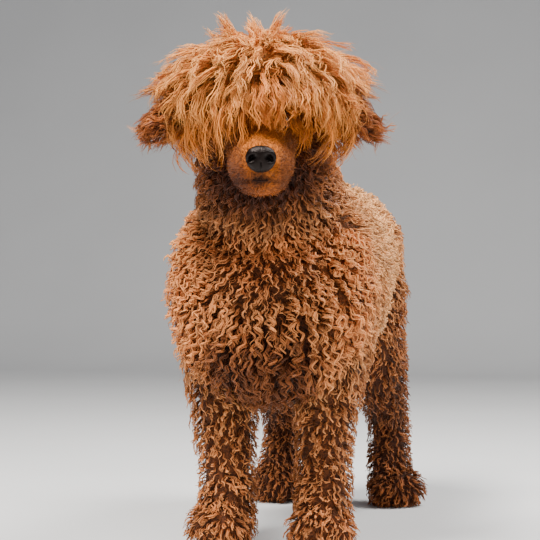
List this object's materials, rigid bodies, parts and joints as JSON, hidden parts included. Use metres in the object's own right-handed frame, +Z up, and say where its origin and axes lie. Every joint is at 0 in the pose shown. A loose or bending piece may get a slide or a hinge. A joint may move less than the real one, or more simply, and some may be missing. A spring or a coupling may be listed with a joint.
{
  "type": "standard poodle figure",
  "caption": "Life-size standing standard poodle in full curly coat, shaggy topknot, drop ears flared outwards, tail raised, head turned a little to its left.",
  "frame": {"origin": "middle of the bounding box's footprint, on the floor under the paws", "axes": "+Z up, the dog's body faces -Y, its left side is +X"},
  "size_m": [0.371, 0.8546, 0.7588],
  "materials": {
    "body_coat": "soft matt curly coat",
    "topknot_coat": "soft matt long wavy locks",
    "ear_coat": "soft matt wavy hair",
    "nose_leather": "moist semi-gloss",
    "eye": "wet gloss"
  },
  "bodies": {
    "root": {"head": "topknot_coat", "ear_left": "ear_coat", "ear_right": "ear_coat", "nose": "nose_leather", "eye_left": "eye", "eye_right": "eye", "neck": "body_coat", "torso": "body_coat", "tail": "body_coat", "foreleg_left": "body_coat", "foreleg_right": "body_coat", "hindleg_left": "body_coat", "hindleg_right": "body_coat", "forepaw_left": "body_coat", "forepaw_right": "body_coat", "hindpaw_left": "body_coat", "hindpaw_right": "body_coat"}
  },
  "joints": []
}
